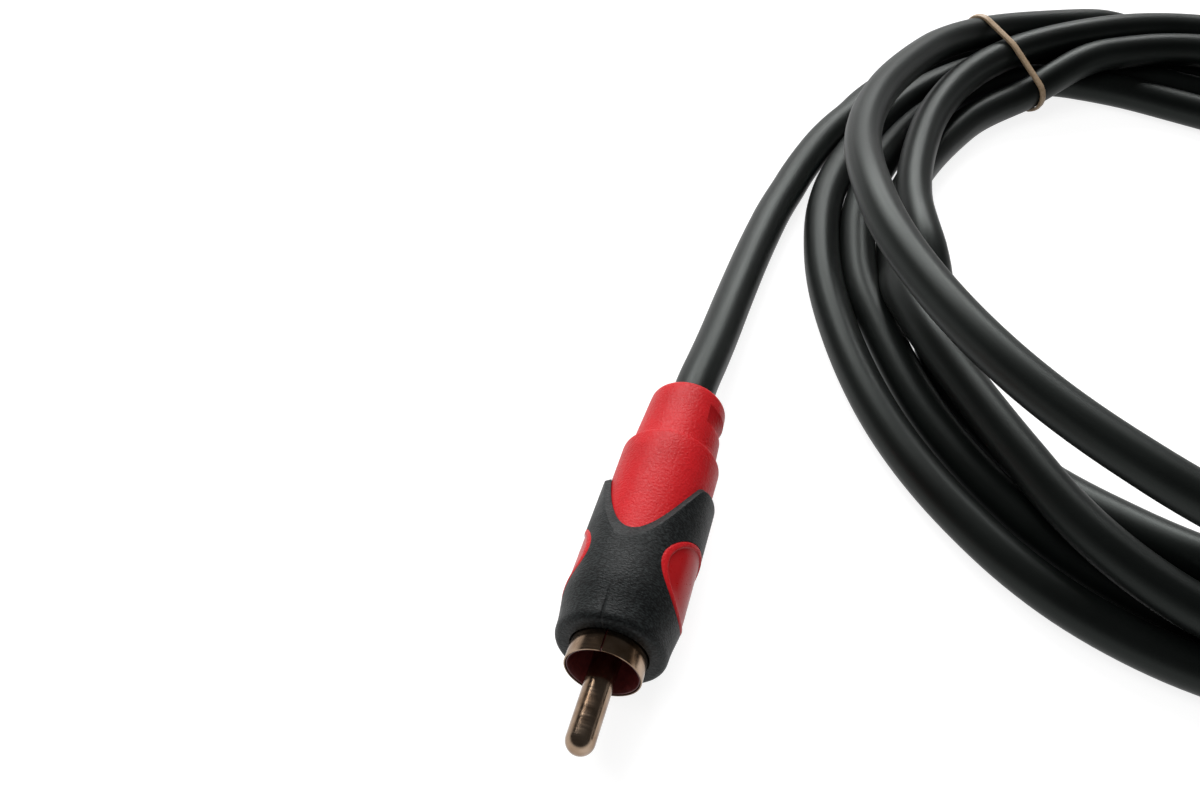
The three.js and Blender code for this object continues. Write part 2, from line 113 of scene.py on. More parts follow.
# Overmoulded soft PVC from a spark-eroded tool: charcoal, a fine matt speckle in its relief with painted
# glints as lighter specks in its colour, a faint flash line on top
gripPvcLook = {"base": 0x08090A, "paintedGlint": 0x2E3333, "roughness": (0.45, 0.58), "specular": 0.18,
               "speckle": 0.2 * mm, "speckleRelief": 0.07 * mm, "streak": 0.55, "cloud": 3 * mm,
               "flashWidth": 0.2 * mm, "flashEnd": 7.6 * mm, "flashRelief": 0.14 * mm}


def makeGripPvc():
    look = gripPvcLook
    material, tree, output = startMaterial("sparkErodedBlackPvc")
    place = addNode(tree, "Attribute", attribute_name="onPlug").outputs["Vector"]
    drawnOut = addNode(tree, "Mapping", {"Vector": place,  # short streaks across the grip
                                         "Scale": (look["streak"], 1, look["streak"])})
    speckle = addNode(tree, "TexNoise", {"Vector": drawnOut.outputs[0], "Scale": 1 / look["speckle"],
                                         "Detail": 2, "Roughness": 0.6})
    cloud = addNode(tree, "TexNoise", {"Vector": place, "Scale": 1 / look["cloud"], "Detail": 3})
    # painted glints: the speckle noise lightens the charcoal in small specks, standing in for light caught by
    # the relief
    tint = addNode(tree, "ValToRGB", {"Fac": speckle.outputs[0]},
                   [(0.42, linearHex(look["base"])), (0.78, linearHex(look["paintedGlint"]))])
    rough = addNode(tree, "MapRange", {"Value": cloud.outputs[0], **noiseSpan,
                                       "To Min": look["roughness"][0], "To Max": look["roughness"][1]})
    parts = addNode(tree, "SeparateXYZ", {"Vector": place})
    offLine = addNode(tree, "Math", {0: parts.outputs[0]}, operation="ABSOLUTE")
    ridge = addNode(tree, "MapRange", {"Value": offLine.outputs[0], "From Min": 0.0,
                                       "From Max": look["flashWidth"], "To Min": 1.0, "To Max": 0.0})
    fade = addNode(tree, "MapRange", {"Value": parts.outputs[1], "From Min": look["flashEnd"] / 2,
                                      "From Max": look["flashEnd"], "To Min": 1.0, "To Max": 0.0})
    onTop = addNode(tree, "Math", {0: parts.outputs[2], 1: 0.0}, operation="GREATER_THAN")
    flash = addNode(tree, "Math", {0: ridge.outputs[0], 1: fade.outputs[0]}, operation="MULTIPLY")
    flash = addNode(tree, "Math", {0: flash.outputs[0], 1: onTop.outputs[0]}, operation="MULTIPLY")
    fine = addNode(tree, "Bump", {"Height": speckle.outputs[0], "Strength": 1.0,
                                  "Distance": look["speckleRelief"]})
    relief = addNode(tree, "Bump", {"Height": flash.outputs[0], "Strength": 1.0,
                                    "Distance": look["flashRelief"], "Normal": fine.outputs[0]})
    shader = addNode(tree, "BsdfPrincipled", {"Base Color": tint.outputs[0], "Roughness": rough.outputs[0],
                                              "Normal": relief.outputs[0], "IOR": 1.5,
                                              "Specular IOR Level": look["specular"]})
    tree.links.new(shader.outputs[0], output.inputs[0])
    return material


# Injection-moulded PVC, signal red: the body took a matt texture from its tool, and the pads' fields are
# glossy from polished steel
redPvcLook = {
    "texture": 0.3 * mm, "textureRelief": 0.08 * mm, "cloud": 5 * mm, "glowDepth": 0.6 * mm,
    "mattRedPvc": {"base": 0xC21C22, "deep": 0xB4171C, "roughness": 0.42, "specular": 0.12, "relief": 1.0},
    "polishedRedPvc": {"base": 0xB4181C, "deep": 0xA81418, "roughness": 0.3, "specular": 0.1, "relief": 0.12},
}


def makeRedPvc(name):
    look, finish = redPvcLook, redPvcLook[name]
    material, tree, output = startMaterial(name)
    place = addNode(tree, "Attribute", attribute_name="onPlug").outputs["Vector"]
    texture = addNode(tree, "TexNoise", {"Vector": place, "Scale": 1 / look["texture"], "Detail": 2})
    cloud = addNode(tree, "TexNoise", {"Vector": place, "Scale": 1 / look["cloud"], "Detail": 3})
    tint = addNode(tree, "ValToRGB", {"Fac": cloud.outputs[0]},
                   [(0.3, linearHex(finish["deep"])), (0.62, linearHex(finish["base"]))])
    rough = addNode(tree, "MapRange", {"Value": texture.outputs[0], **noiseSpan,
                                       "To Min": finish["roughness"] * 0.88,
                                       "To Max": finish["roughness"] * 1.15})
    bump = addNode(tree, "Bump", {"Height": texture.outputs[0], "Strength": finish["relief"],
                                  "Distance": look["textureRelief"]})
    shader = addNode(tree, "BsdfPrincipled", {"Base Color": tint.outputs[0], "Roughness": rough.outputs[0],
                                              "Normal": bump.outputs[0], "IOR": 1.5,
                                              "Specular IOR Level": finish["specular"],
                                              "Subsurface Weight": 0.08,
                                              "Subsurface Radius": (1.0, 0.25, 0.2),
                                              "Subsurface Scale": look["glowDepth"]})
    tree.links.new(shader.outputs[0], output.inputs[0])
    return material


# Brass turned or rolled, then nickel plated: a warm dim mirror with fine rings left by the tool
nickelLook = {"light": 0x9F8B79, "warm": 0x70563F, "roughness": (0.13, 0.26), "cloud": 2.5 * mm,
              "ringSpacing": 0.22 * mm, "ringRelief": 0.012 * mm, "ringStretch": 0.05}


def makeNickel():
    look = nickelLook
    material, tree, output = startMaterial("nickelPlatedBrass")
    place = addNode(tree, "Attribute", attribute_name="onPlug").outputs["Vector"]
    squeezed = addNode(tree, "Mapping", {"Vector": place,
                                         "Scale": (look["ringStretch"], 1, look["ringStretch"])})
    rings = addNode(tree, "TexNoise", {"Vector": squeezed.outputs[0], "Scale": 1 / look["ringSpacing"],
                                       "Detail": 3})
    cloud = addNode(tree, "TexNoise", {"Vector": place, "Scale": 1 / look["cloud"], "Detail": 4})
    tint = addNode(tree, "ValToRGB", {"Fac": cloud.outputs[0]},
                   [(0.3, linearHex(look["warm"])), (0.7, linearHex(look["light"]))])
    rough = addNode(tree, "MapRange", {"Value": rings.outputs[0], **noiseSpan,
                                       "To Min": look["roughness"][0], "To Max": look["roughness"][1]})
    bump = addNode(tree, "Bump", {"Height": rings.outputs[0], "Strength": 0.25,
                                  "Distance": look["ringRelief"]})
    shader = addNode(tree, "BsdfPrincipled", {"Base Color": tint.outputs[0], "Roughness": rough.outputs[0],
                                              "Normal": bump.outputs[0], "Metallic": 1.0})
    tree.links.new(shader.outputs[0], output.inputs[0])
    return material


# Finishes that need only a mottled colour: two hex colours, spot size, roughness, relief, metal or not
plainLooks = {
    "mouldedBushPlastic": (0x501A1A, 0x642422, 0.5 * mm, 0.4, 0.25, 0),  # dark maroon, fine moulded skin
    "drawnCopperWire": (0xA8623A, 0xC9855A, 0.12 * mm, 0.32, 0.6, 1),  # bare strands, drawn as coarse grain
    "milkyPolythene": (0xDDDACF, 0xEDEAE1, 1.2 * mm, 0.35, 0.1, 0),  # waxy, slightly cloudy
    "reflowedSolder": (0x9C9EA0, 0xC9CBCC, 0.4 * mm, 0.25, 0.4, 1),  # bright with a frosty skin
    "jacketPvcInside": (0x121414, 0x1C1F1E, 0.6 * mm, 0.5, 0.3, 0),  # the jacket where the plug hides it
    "coatedPaperTie": (0x9C8468, 0xB49C80, 0.35 * mm, 0.45, 0.5, 0),  # beige, pressed fibres under a coat
}


def makePlain(name):
    first, second, spot, roughness, relief, metal = plainLooks[name]
    material, tree, output = startMaterial(name)
    place = addNode(tree, "TexCoord").outputs["Object"]
    mottle = addNode(tree, "TexNoise", {"Vector": place, "Scale": 1 / spot, "Detail": 3})
    tint = addNode(tree, "ValToRGB", {"Fac": mottle.outputs[0]},
                   [(0.35, linearHex(first)), (0.68, linearHex(second))])
    rough = addNode(tree, "MapRange", {"Value": mottle.outputs[0], "To Min": roughness - 0.08,
                                       "To Max": roughness + 0.1})
    bump = addNode(tree, "Bump", {"Height": mottle.outputs[0], "Strength": relief, "Distance": spot * 0.1})
    shader = addNode(tree, "BsdfPrincipled", {"Base Color": tint.outputs[0], "Roughness": rough.outputs[0],
                                              "Normal": bump.outputs[0], "Metallic": float(metal)})
    tree.links.new(shader.outputs[0], output.inputs[0])
    return material


cablePvc, gripPvc, nickel = makeCablePvc(), makeGripPvc(), makeNickel()
redPvc, glossRed = makeRedPvc("mattRedPvc"), makeRedPvc("polishedRedPvc")
plain = {name: makePlain(name) for name in plainLooks}
print("finishes made")


# Plug sizes in mm, the same as in the CAD; stations run from the shell's rim towards the cable
plug = {"axisHeight": 6.95, "middle": 15.55, "rear": 40.8, "roll": -9.0,
        "farPlace": (153.3, 31.2), "farHeading": 4.0, "farRoll": 14.0}


def plugFrame(x, y, heading, roll):  # where a plug lies on the table, its shell's rim at x, y
    place = Matrix.Translation((x * mm, y * mm, plug["axisHeight"] * mm))
    return place @ Matrix.Rotation(radians(heading), 4, "Z") @ Matrix.Rotation(radians(roll), 4, "Y")


nearFrame = plugFrame(0, -plug["middle"], 0, plug["roll"])
farFrame = plugFrame(*plug["farPlace"], plug["farHeading"], plug["farRoll"])


# Modelling helpers
tiny = 0.002  # mm; stands for a radius of nothing until the doubles are merged


def deselectAll():
    if bpy.context.object and bpy.context.object.mode != "OBJECT":
        bpy.ops.object.mode_set(mode="OBJECT")
    bpy.ops.object.select_all(action="DESELECT")


def pick(obj, mode="OBJECT"):  # makes obj the only one selected and active, in that mode
    deselectAll()
    obj.select_set(True)
    bpy.context.view_layer.objects.active = obj
    bpy.ops.object.mode_set(mode=mode)


def faceOutwards(obj):
    pick(obj, "EDIT")
    bpy.ops.mesh.select_all(action="SELECT")
    bpy.ops.mesh.normals_make_consistent(inside=False)
    pick(obj)


def turnProfile(name, profile, sides=96):  # rings (radius, station) in mm, extruded one after another
    deselectAll()
    rings = [(max(radius, tiny), station) for radius, station in profile]
    radius, station = rings[0]
    bpy.ops.mesh.primitive_circle_add(vertices=sides, radius=radius * mm, location=(0, station * mm, 0),
                                      rotation=(pi / 2, 0, 0))
    obj = bpy.context.object
    obj.name = obj.data.name = name
    bpy.ops.object.transform_apply(location=True, rotation=True, scale=True)
    bpy.ops.object.mode_set(mode="EDIT")
    bpy.ops.mesh.select_all(action="SELECT")
    for nextRadius, nextStation in rings[1:]:
        move = {"value": (0, (nextStation - station) * mm, 0)}
        bpy.ops.mesh.extrude_region_move(TRANSFORM_OT_translate=move)
        if abs(nextRadius - radius) > tiny / 10:
            ratio = nextRadius / radius
            bpy.ops.transform.resize(value=(ratio, 1, ratio), center_override=(0, nextStation * mm, 0))
        radius, station = nextRadius, nextStation
    bpy.ops.mesh.select_all(action="SELECT")
    bpy.ops.mesh.remove_doubles(threshold=tiny * mm * 1.5)
    bpy.ops.mesh.normals_make_consistent(inside=False)
    bpy.ops.object.mode_set(mode="OBJECT")
    return obj


def cornerRound(radius, station, size, steps=4):  # quarter round that ends a wall
    angles = [i / steps * pi / 2 for i in range(steps + 1)]
    return [(radius - size + size * cos(a), station - size + size * sin(a)) for a in angles]


def block(name, size, centre):  # a box in mm, its place in its mesh
    deselectAll()
    bpy.ops.mesh.primitive_cube_add(size=1, location=[c * mm for c in centre])
    obj = bpy.context.object
    obj.name = name
    obj.scale = [s * mm for s in size]
    bpy.ops.object.transform_apply(location=True, rotation=True, scale=True)
    return obj


def meshPiece(name, points, faces):
    mesh = bpy.data.meshes.new(name)
    mesh.from_pydata(points, [], faces)
    obj = bpy.data.objects.new(name, mesh)
    bpy.context.collection.objects.link(obj)
    return obj


def applyModifier(obj, kind, **settings):
    pick(obj)
    modifier = obj.modifiers.new(kind.title(), kind)
    for key, value in settings.items():
        setattr(modifier, key, value)
    bpy.ops.object.modifier_apply(modifier=modifier.name)


def cutAway(obj, cutter):  # cuts by another shape, which is then deleted
    applyModifier(obj, "BOOLEAN", object=cutter, operation="DIFFERENCE", solver="EXACT")
    bpy.data.objects.remove(cutter, do_unlink=True)


def joinInto(obj, *others):
    pick(obj)
    for other in others:
        other.select_set(True)
    bpy.ops.object.join()


def softenEdges(obj, width=0, angle=30, smooth=30):  # small radius in mm on edges sharper than angle, if any
    if width:
        applyModifier(obj, "BEVEL", width=width * mm, segments=2, limit_method="ANGLE",
                      angle_limit=radians(angle), use_clamp_overlap=True)
    pick(obj)
    bpy.ops.object.shade_smooth_by_angle(angle=radians(smooth))


def placeOnPlugs(obj, node, look=None):  # the finished piece to the near plug, a copy to the far one
    points = np.empty(len(obj.data.vertices) * 3)
    obj.data.vertices.foreach_get("co", points)
    obj.data.attributes.new("onPlug", "FLOAT_VECTOR", "POINT").data.foreach_set("vector", points)
    if look:
        obj.data.materials.append(look)
    far = obj.copy()
    far.data = obj.data.copy()
    bpy.context.collection.objects.link(far)
    for piece, place, suffix in ((obj, nearFrame, ""), (far, farFrame, "_far")):
        piece.data.transform(place)
        piece.name = piece.data.name = "visual_" + node + suffix
        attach(piece, "root")
        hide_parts(node + suffix)


# Black grip: rings out from the nose, whose rear rows then slide onto the scallop
gripSizes = {"nose": 2.6, "noseRadius": 5.6, "noseRound": 1.0, "shoulder": 6.375, "taperEnd": 9.0,
             "full": 6.95, "horns": 24.6, "heel": 6.85, "dip": 13.3, "scallopHalf": 6.15, "knee": 0.12,
             "lipDip": 1.8, "lipHorn": 0.5, "lipSlope": 0.6, "lipTuck": 0.7, "lipStep": 0.06,
             "bore": 6.2, "boreFront": 13.1, "coreBore": 5.75, "coreBoreEnd": 12.4, "noseWall": 1.7,
             "hole": 4.42, "holeEdge": (0.1, 0.12), "window": (10.36, 11.06), "windowReach": 9, "edge": 0.1}


def gripRadius(station):
    g = gripSizes
    back = station - g["nose"]
    if back < g["noseRound"]:
        bulge = sqrt(max(0.0, 1 - (1 - back / g["noseRound"]) ** 2))
        return g["noseRadius"] + (g["shoulder"] - g["noseRadius"]) * bulge
    if station < g["taperEnd"]:
        t = (back - g["noseRound"]) / (g["taperEnd"] - g["nose"] - g["noseRound"])
        return g["shoulder"] + (g["full"] - g["shoulder"]) * t * t * (3 - 2 * t)
    heel = (station - g["taperEnd"]) / (g["horns"] - g["taperEnd"])
    return g["full"] + (g["heel"] - g["full"]) * min(heel, 1)


def rimRise(x, z):  # 0 in the dip at the top and bottom, 1 on the horns at the sides
    rise = (x / hypot(x, z) * gripSizes["heel"] / gripSizes["scallopHalf"]) ** 2
    knee = gripSizes["knee"]
    return rise if rise < 1 - knee else 1 - knee * exp(-(rise - 1 + knee) / knee)


def makeGrip():
    g = gripSizes
    noseEnd, lipRow, wallBack = g["nose"] + g["noseRound"], g["horns"] + 1, g["nose"] + g["noseWall"]
    stations = [g["nose"] + g["noseRound"] * part for part in (0, 0.03, 0.12, 0.28, 0.5, 0.75, 1)]
    stations += [*np.linspace(noseEnd, g["taperEnd"], 7)[1:], *np.linspace(g["taperEnd"], g["horns"], 15)[1:]]
    holeEdge = [(g["hole"] + g["holeEdge"][0], g["nose"])]
    inner = [(g["bore"] + g["lipStep"], lipRow), (g["bore"], lipRow + g["lipStep"]), (g["bore"], lipRow + 1),
             (g["bore"], g["boreFront"]), (g["coreBore"], g["coreBoreEnd"]), (g["coreBore"], wallBack),
             (g["hole"], wallBack), (g["hole"], g["nose"] + g["holeEdge"][1])]
    grip = turnProfile("grip", holeEdge + [(gripRadius(s), s) for s in stations] + inner + holeEdge, 144)
    for v in grip.data.vertices:
        x, s, z = (c / mm for c in v.co)
        radius = hypot(x, z)
        rise = rimRise(x, z)
        rim = g["dip"] + (g["horns"] - g["dip"]) * rise
        lip = rim + g["lipDip"] + (g["lipHorn"] - g["lipDip"]) * rise
        if s > lipRow + 0.5:  # the bore's last row, tucked under the lip
            v.co.y = (lip + (s - lipRow) * g["lipSlope"] - g["lipTuck"]) * mm
        elif s > lipRow - 0.5:  # the lip's inner rows
            v.co.y = (lip + (s - lipRow) * g["lipSlope"]) * mm
        elif s > g["taperEnd"] and radius > (g["bore"] + g["heel"]) / 2:
            s = g["taperEnd"] + (s - g["taperEnd"]) * (rim - g["taperEnd"]) / (g["horns"] - g["taperEnd"])
            wanted = gripRadius(s) / radius
            v.co = (x * wanted * mm, s * mm, z * wanted * mm)
    softenEdges(grip, g["edge"], 28)
    reach, (length, height) = g["windowReach"], g["window"]
    window = turnProfile("window", [(0, -reach), (1, -reach), (1, reach), (0, reach)], 64)
    for v in window.data.vertices:  # the round bar becomes an oval one across the plug, at the pads
        x, y, z = (c / mm for c in v.co)
        v.co = (y * mm, (padSizes["centre"] + x * length / 2) * mm, -z * height / 2 * mm)
    cutAway(grip, window)
    softenEdges(grip)
    placeOnPlugs(grip, "black_grip", gripPvc)


# Red body: core, collar, strain relief with a notch each side, and the two oval pads
bodySizes = {"coreFront": 4.6, "core": 5.65, "collar": 6.1, "stepFront": 12.4, "stepEnd": 13.1,
             "collarEnd": 30.8, "collarRound": 0.5, "neck": 0.25, "reliefFront": 5.35, "reliefRear": 4.9,
             "rear": 40.8, "reliefRound": 1.1, "bore": 2.82, "boreEdge": 0.12, "boreFront": 28.6,
             "chamber": 3.9, "chamberEnd": 27.5, "shellSeat": 12.4, "shellBore": 4.6, "edge": 0.12,
             "notchFront": 35.2, "notchLength": 2.9, "notchFloor": 4.4, "notchRear": 4.95, "notchReach": 8,
             "notchHeights": (6.6, 3.8)}  # the right one, then the left one
padSizes = {"centre": 12.2, "length": 10.3, "height": 11.0, "root": 3.2, "proud": 0.03, "recess": 0.18,
            "rim": 0.12, "fieldLevel": 0.05}
# Share of the oval and height in mm: the pad's rounded edge, then the fall to its field, mirrored half way
padRound = [(1, -0.16), (0.994, -0.07), (0.98, -0.015), (0.965, 0), (0.935, 0.01)]
padFall = [(0.03, 0), (0.014, -0.02), (0.004, -0.07)]


def makePad(side):
    p = padSizes
    rimIn = 1 - p["rim"]
    profile = [(1, -p["root"])] + padRound + [(rimIn + out, fall) for out, fall in padFall]
    profile += [(rimIn - out, -p["recess"] - fall) for out, fall in padFall[::-1]]
    profile += [(rimIn * share, -p["recess"]) for share in (0.8, 0.6, 0.4, 0.2, 0)]
    pad = turnProfile("pad", profile, 96)
    pad.data.materials.append(redPvc)
    pad.data.materials.append(glossRed)
    for face in pad.data.polygons:
        outwards, height, across = (c / mm for c in face.center)
        inField = height < p["fieldLevel"] - p["recess"] and hypot(outwards, across) < rimIn
        face.material_index = int(inField)
    for v in pad.data.vertices:
        x, height, z = (c / mm for c in v.co)
        z *= -p["height"] / 2
        station = p["centre"] + x * p["length"] / 2
        radius = gripRadius(station) + p["proud"] + height
        v.co = (side * sqrt(max(radius ** 2 - z * z, 1.0)) * mm, station * mm, z * mm)
    faceOutwards(pad)
    softenEdges(pad, smooth=50)
    return pad


def makeNotch(side, height):  # cutter: deep in front, out to the relief's skin behind
    b = bodySizes
    front, back = b["notchFront"], b["notchFront"] + b["notchLength"]
    notch = turnProfile("notch", [(b["notchFloor"], front), (b["notchReach"], front),
                                  (b["notchReach"], back), (b["notchRear"], back),
                                  (b["notchFloor"], front)], 96)
    pick(notch, "EDIT")
    for x, z, away in ((0, height / 2, (0, 0, 1)), (0, -height / 2, (0, 0, -1)), (0, 0, (-side, 0, 0))):
        bpy.ops.mesh.select_all(action="SELECT")
        bpy.ops.mesh.bisect(plane_co=(x * mm, 0, z * mm), plane_no=away, use_fill=True, clear_outer=True)
    faceOutwards(notch)
    return notch


def makeRedBody():
    b = bodySizes
    collarRows = np.linspace(b["stepEnd"], b["collarEnd"] - b["collarRound"], 9)[1:-1]
    reliefStart, reliefEnd = b["collarEnd"] + b["neck"], b["rear"] - b["reliefRound"]
    outline = [(b["shellBore"], b["coreFront"]), (b["core"], b["coreFront"]), (b["core"], b["stepFront"]),
               (b["collar"], b["stepEnd"])]
    outline += [(b["collar"], s) for s in collarRows]
    outline += cornerRound(b["collar"], b["collarEnd"], b["collarRound"])
    for angle in [t * pi / 8 for t in range(5)]:  # the hollow round where the relief leaves the collar
        outline.append((b["reliefFront"] + b["neck"] * (1 - sin(angle)),
                        b["collarEnd"] + b["neck"] * (1 - cos(angle))))
    for t in np.linspace(0, 1, 8)[1:-1]:
        outline.append((b["reliefFront"] + (b["reliefRear"] - b["reliefFront"]) * t,
                        reliefStart + (reliefEnd - reliefStart) * t))
    outline += cornerRound(b["reliefRear"], b["rear"], b["reliefRound"], 6)
    outline += [(b["bore"] + b["boreEdge"], b["rear"]), (b["bore"], b["rear"] - b["boreEdge"]),
                (b["bore"], b["boreFront"]), (b["chamber"], b["chamberEnd"]), (b["chamber"], b["shellSeat"]),
                (b["shellBore"], b["shellSeat"]), (b["shellBore"], b["coreFront"])]
    body = turnProfile("body", outline, 128)
    for side, height in zip((1, -1), b["notchHeights"]):
        cutAway(body, makeNotch(side, height))
    softenEdges(body, b["edge"], 40)
    body.data.materials.append(redPvc)
    body.data.materials.append(glossRed)
    joinInto(body, makePad(1), makePad(-1))
    placeOnPlugs(body, "red_body")


# Ground shell: a rolled tube with its seam, then the tongue and crimp behind it
shellSizes = {"radius": 4.35, "wall": 0.35, "length": 12.0, "hole": 2.6, "bands": (3, 8), "edge": 0.035,
              "rimWall": 0.14, "rimDepth": 0.9, "backEdge": 0.3, "seamWidth": 0.2, "seamAngle": 6.0,
              "tongueWidth": 2.6, "tongueEnd": 24.2, "tongueLap": 0.5, "level": 2.87,
              "crimpWall": 0.45, "crimpLength": 3.4, "crimpOpening": (1.6, 10, 4)}


def makeShell():
    h = shellSizes
    outside, inside, start = h["radius"], h["radius"] - h["wall"], h["length"]
    end, edge, (front, back) = h["length"] + h["wall"], h["edge"], h["bands"]
    shell = turnProfile("shell", [
        (outside - h["rimWall"], 0), (outside - 2 * edge, 0), (outside - edge * 0.6, edge * 0.6),
        (outside, edge * 2), (outside, front), (outside, back), (outside, end - h["backEdge"]),
        (outside - h["backEdge"], end), (h["hole"], end), (h["hole"], start), (inside, start),
        (inside, back), (inside, front), (inside, h["rimDepth"]), (outside - h["rimWall"], 0)], 128)
    seam = block("seam", (h["seamWidth"], h["length"] * 2, outside), (0, 0, outside))
    seam.data.transform(Matrix.Rotation(radians(h["seamAngle"]), 4, "Y"))
    cutAway(shell, seam)
    tongueBack = h["tongueEnd"] + h["tongueLap"]
    tongue = block("tongue", (h["tongueWidth"], tongueBack - start, h["crimpWall"]),
                   (0, (tongueBack + start) / 2, -h["level"] - h["crimpWall"] / 2))
    front, back = h["tongueEnd"], h["tongueEnd"] + h["crimpLength"]
    outer = h["level"] + h["crimpWall"]
    crimp = turnProfile("crimp", [(h["level"], front), (outer, front), (outer, back), (h["level"], back),
                                  (h["level"], front)], 48)
    cutAway(crimp, block("opening", h["crimpOpening"], (0, front, h["level"])))
    joinInto(shell, tongue, crimp)
    softenEdges(shell)
    placeOnPlugs(shell, "ground_shell", nickel)


# Centre pin: round nose, shank, flange in the bush, solder cup
pinSizes = {"radius": 1.6, "tip": -9.7, "flange": 2.2, "flangeFront": 7.4, "flangeLength": 1.2,
            "flangeEdge": 0.1, "cupFront": 11.52, "cupSlope": 0.12, "cup": 1.45, "cupMouth": 14.92,
            "cupBore": 0.95, "cupDepth": 2.8, "drillPoint": 0.48, "opening": (6, 4.48, 2.9),
            "openingHeight": 1.65}


def makePin():
    n = pinSizes
    front, back, edge = n["flangeFront"], n["flangeFront"] + n["flangeLength"], n["flangeEdge"]
    floor = n["cupMouth"] - n["cupDepth"]
    nose = np.linspace(0, pi / 2, 13)
    rings = [(n["radius"] * sin(t), n["tip"] + n["radius"] * (1 - cos(t))) for t in nose]
    rings += [(n["radius"], s) for s in np.linspace(n["tip"] + n["radius"], front, 8)[1:]]
    rings += [(n["flange"] - edge, front), (n["flange"], front + edge), (n["flange"], back - edge),
              (n["flange"] - edge, back), (n["radius"], back), (n["radius"], n["cupFront"] - n["cupSlope"]),
              (n["cup"], n["cupFront"]), (n["cup"], n["cupMouth"]), (n["cupBore"], n["cupMouth"]),
              (n["cupBore"], floor), (0, floor - n["drillPoint"])]
    pin = turnProfile("pin", rings, 64)
    cutAway(pin, block("opening", n["opening"], (0, n["cupMouth"], n["openingHeight"])))
    softenEdges(pin, smooth=32)
    placeOnPlugs(pin, "centre_pin", nickel)


# Bush between the pin and the shell: a moat in its front face, and a thin lip that lines the shell's mouth
bushSizes = {"front": 4.6, "length": 6.8, "outer": 3.88, "outerStep": 0.4, "bore": 1.68, "boreEdge": 0.15,
             "groove": 2.32, "grooveHalf": 0.72, "moat": (2.6, 3.15), "moatDepth": 0.18, "moatSlope": 0.15,
             "lip": 0.08, "lipInner": 3.84, "lipOuter": 3.95, "lipFlare": 4.13, "lipFlareLength": 1,
             "lipWall": 0.16, "lipEdge": 0.06, "lipRoot": 3.5, "lipRootSlope": (0.1, 0.25), "edge": 0.05}


def makeBush():
    u = bushSizes
    front, back, lip = u["front"], u["front"] + u["length"], u["lip"]
    middle, flareEnd, crown = (front + back) / 2, lip + u["lipFlareLength"], lip + u["lipEdge"]
    moatIn, moatOut = u["moat"]
    moatFloor = front + u["moatDepth"]
    face = [(u["bore"] + u["boreEdge"], front), (moatIn, front), (moatIn + u["moatSlope"], moatFloor),
            (moatOut - u["moatSlope"], moatFloor), (moatOut, front)]
    liner = [(u["lipRoot"] - u["lipRootSlope"][0], front), (u["lipRoot"], front - u["lipRootSlope"][1]),
             (u["lipInner"], flareEnd), (u["lipFlare"] - u["lipWall"], crown),
             (u["lipFlare"] - u["lipWall"] / 2, lip), (u["lipFlare"], crown), (u["lipOuter"], flareEnd),
             (u["lipOuter"], front)]
    bore = [(u["outer"], front + u["outerStep"]), (u["outer"], back), (u["bore"], back),
            (u["bore"], middle + u["grooveHalf"]), (u["groove"], middle + u["grooveHalf"]),
            (u["groove"], middle - u["grooveHalf"]), (u["bore"], middle - u["grooveHalf"]),
            (u["bore"], front + u["boreEdge"]), (u["bore"] + u["boreEdge"], front)]
    bush = turnProfile("bush", face + liner + bore, 64)
    softenEdges(bush, u["edge"], 40)
    placeOnPlugs(bush, "pin_insulator", plain["mouldedBushPlastic"])


# Cord: route in mm. The run and the tail are the CAD's own points; the coil is worked out turn by turn
cordSizes = {"diameter": 5.5, "length": 2.0, "centre": (74.5, 68.5), "tieAngle": 125.0, "sides": 24,
             "step": 1.6, "exit": (0.0, 25.25, 6.95), "inside": 1.8, "degreeStep": 1.5}
settling = {"step": 3.6, "rounds": 140, "clear": 5.56, "neighbours": 6, "heldStart": 24, "heldEnd": 8,
            "share": 0.5, "furthest": 0.5, "keep": 0.97, "stiffness": 0.25}
runPoints = [(0, 25.55, 6.95), (0.05, 29.25, 6.85), (0.3, 33.5, 6.4), (0.6, 40, 5.6), (0.9, 50, 4.5),
             (1.2, 57, 3.9), (1.6, 64, 3.35), (2.6, 74.5, 2.95), (3.6, 80.7, 2.75), (4.7, 87, 2.75),
             (7.3, 97.2, 2.75), (11.2, 106.7, 2.75), (16, 115.2, 2.75)]
tailOffsets = [(38, -14.3, 3.4), (31, -9.3, 3.8), (24, -5.5, 4.5), (17, -2.6, 5.4), (11, -1.0, 6.2),
               (5, -0.15, 6.8), (0.3, 0, 6.95), (-1.5, 0, 6.95)]  # behind the far plug's rear, across, height
low = cordSizes["diameter"] / 2  # height of the cord's middle where it lies on the table
